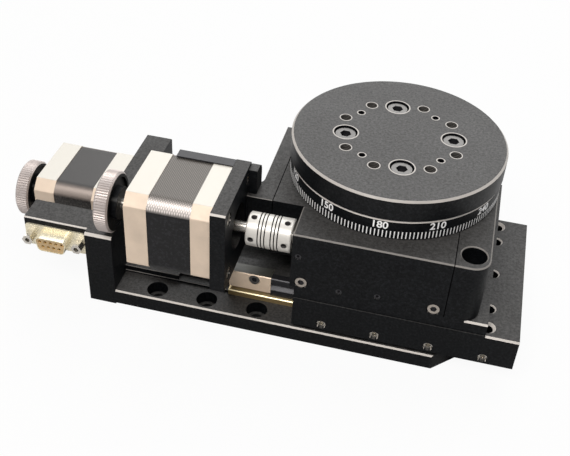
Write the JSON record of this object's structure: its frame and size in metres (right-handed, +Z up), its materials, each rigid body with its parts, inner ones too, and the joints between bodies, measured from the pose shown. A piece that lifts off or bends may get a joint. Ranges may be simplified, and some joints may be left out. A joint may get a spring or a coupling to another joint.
{
  "type": "motorised rotation stage",
  "caption": "Worm-driven rotary table on a motorised linear slide, with a stepper motor and hand knob on each axis and a D connector.",
  "frame": {"origin": "on the underside of the base, below the turning axis of the table with the carriage at rest", "axes": "+X along the linear travel, away from the motors; +Y to the back, away from the connector; +Z up along the turning axis"},
  "size_m": [0.2631, 0.1251, 0.0874],
  "materials": {
    "black_anodised": "satin black anodised",
    "cast_aluminium": "bare die-cast",
    "bare_aluminium": "satin, bead blasted",
    "knob_aluminium": "satin grey, knurled",
    "lamination": "stacked laminations, blackened",
    "bright_steel": "ground",
    "black_steel": "black oxide",
    "rail_steel": "hardened and blackened",
    "ground_steel": "ground",
    "bearing_steel": "polished",
    "bronze": "turned bronze",
    "brass": "ground brass",
    "connector_metal": "tin plated",
    "gold_contact": "gold plated",
    "black_plastic": "moulded"
  },
  "bodies": {
    "base": {"base_plate": "black_anodised", "end_plate": "black_anodised", "end_plate_screws": "black_steel", "way_bars": "brass", "stop_blocks": "ground_steel", "stop_block_screws": "black_steel", "fixed_rails": "rail_steel", "screw_bearing_block": "black_anodised", "screw_bearing": "bearing_steel", "linear_motor_front_cap": "cast_aluminium", "linear_motor_stack": "lamination", "linear_motor_rear_cap": "cast_aluminium", "linear_motor_screws": "bright_steel", "connector_box": "black_anodised", "connector_shell": "connector_metal", "connector_insert": "black_plastic", "connector_contacts": "gold_contact", "connector_jackscrews": "bright_steel"},
    "lead_screw": {"lead_screw": "bright_steel", "lead_coupling": "bare_aluminium", "linear_motor_rotor": "bright_steel", "linear_motor_knob": "knob_aluminium"},
    "carriage": {"carriage_plate": "black_anodised", "moving_rails": "rail_steel", "preload_screws": "bright_steel", "lead_nut": "bronze", "adapter_plate": "black_anodised", "rotary_body": "black_anodised", "rotary_end_block": "black_anodised", "rotary_side_flange": "black_anodised", "rotary_bolts": "black_steel", "front_screws": "black_steel", "front_set_screws": "black_steel", "table_bearing": "bearing_steel", "worm_bearings": "bearing_steel", "motor_plate": "black_anodised", "worm_motor_front_cap": "cast_aluminium", "worm_motor_stack": "lamination", "worm_motor_rear_cap": "cast_aluminium", "worm_motor_screws": "bright_steel", "terminal_cover": "black_plastic"},
    "roller_set": {"roller_cages": "brass", "crossed_rollers": "bearing_steel"},
    "worm_shaft": {"worm": "bright_steel", "beam_coupling": "bare_aluminium", "worm_motor_rotor": "bright_steel", "worm_motor_knob": "knob_aluminium"},
    "table": {"table_disc": "black_anodised", "dial_ring": "black_anodised", "spindle": "bright_steel", "worm_wheel": "bronze", "table_screws": "black_steel"}
  },
  "joints": [
    {"name": "carriage_slide", "type": "slide", "parent": "base", "child": "carriage", "axis": [1, 0, 0], "range_m": [-0.0127, 0.0381]},
    {"name": "roller_slide", "type": "slide", "parent": "base", "child": "roller_set", "axis": [1, 0, 0], "range_m": [-0.00636, 0.01906]},
    {"name": "lead_screw_turn", "type": "hinge", "parent": "base", "child": "lead_screw", "pos_m": [0, -0.0092, 0.0212], "axis": [1, 0, 0], "range_deg": [-5401, 1801]},
    {"name": "table_turn", "type": "hinge", "parent": "carriage", "child": "table", "pos_m": [0, 0, 0.07], "axis": [0, 0, 1], "continuous": true},
    {"name": "worm_turn", "type": "hinge", "parent": "carriage", "child": "worm_shaft", "pos_m": [0, -0.052, 0.0584], "axis": [1, 0, 0], "continuous": true}
  ],
  "couplings": [
    {"joint": "roller_slide", "follows": "carriage_slide", "ratio": 0.5},
    {"joint": "lead_screw_turn", "follows": "carriage_slide", "rad_per_m": -2473.7},
    {"joint": "worm_turn", "follows": "table_turn", "ratio": -72}
  ]
}
